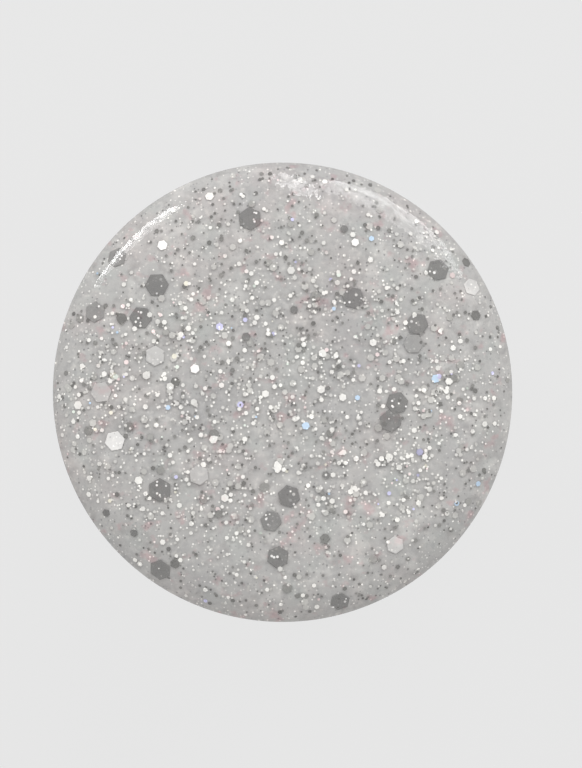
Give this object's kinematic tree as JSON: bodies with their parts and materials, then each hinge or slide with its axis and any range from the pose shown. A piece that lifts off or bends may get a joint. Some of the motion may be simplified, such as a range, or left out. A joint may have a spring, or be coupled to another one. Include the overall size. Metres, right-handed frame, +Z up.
{
  "type": "nail polish bottle",
  "caption": "Slim round nail polish bottle with a screwed brush cap and a pull-off overcap carrying a domed drop of its grey glitter shade.",
  "frame": {"origin": "centre of the foot ring, on the surface the bottle stands on", "axes": "+Z up along the bottle's axis, from the base to the drop on the overcap; +X towards the first mixing ball"},
  "size_m": [0.02, 0.02, 0.0645],
  "materials": {
    "clear_glass": "clear, polished",
    "label_paper": "matte",
    "glitter_polish": "grey polish with silver and grey glitter",
    "plated_collar": "bright plated",
    "natural_plastic": "moulded, milky",
    "bright_steel": "bright",
    "foam_seal": "closed-cell foam",
    "satin_black_plastic": "satin",
    "black_bristle": "fine filaments",
    "gloss_black_plastic": "polished",
    "white_adhesive": "matte",
    "clear_acrylic": "clear, polished",
    "glitter_lacquer": "glossy grey lacquer with hexagonal glitter"
  },
  "bodies": {
    "bottle": {"glass_bottle": "clear_glass", "base_label": "label_paper", "polish_fill": "glitter_polish", "neck_collar": "plated_collar", "wiper": "natural_plastic"},
    "ball_1": {"mixing_ball_1": "bright_steel"},
    "ball_2": {"mixing_ball_2": "bright_steel"},
    "seal": {"seal_liner": "foam_seal"},
    "wand": {"brush_cap": "satin_black_plastic", "cap_weight": "bright_steel", "brush_stem": "satin_black_plastic", "brush_staple": "bright_steel", "bristle_tuft": "black_bristle"},
    "overcap": {"overcap_lining": "natural_plastic", "overcap_shell": "gloss_black_plastic", "adhesive_pad": "white_adhesive", "sample_disc": "clear_acrylic", "shade_drop": "glitter_lacquer"}
  },
  "joints": [
    {"name": "cap_rise", "type": "slide", "parent": "bottle", "child": "seal", "axis": [0, 0, 1], "range_m": [0, 0.0402]},
    {"name": "cap_turn", "type": "hinge", "parent": "seal", "child": "wand", "pos_m": [0, 0, 0], "axis": [0, 0, 1], "range_deg": [0, 6832]},
    {"name": "overcap_pull", "type": "slide", "parent": "wand", "child": "overcap", "axis": [0, 0, 1], "range_m": [0, 0.027]},
    {"name": "ball_1_rise", "type": "slide", "parent": "bottle", "child": "ball_1", "axis": [0, 0, 1], "range_m": [0, 0.02]},
    {"name": "ball_2_rise", "type": "slide", "parent": "bottle", "child": "ball_2", "axis": [0, 0, 1], "range_m": [0, 0.02]}
  ],
  "couplings": [
    {"joint": "cap_rise", "follows": "cap_turn", "m_per_rad": 0.00033693}
  ]
}
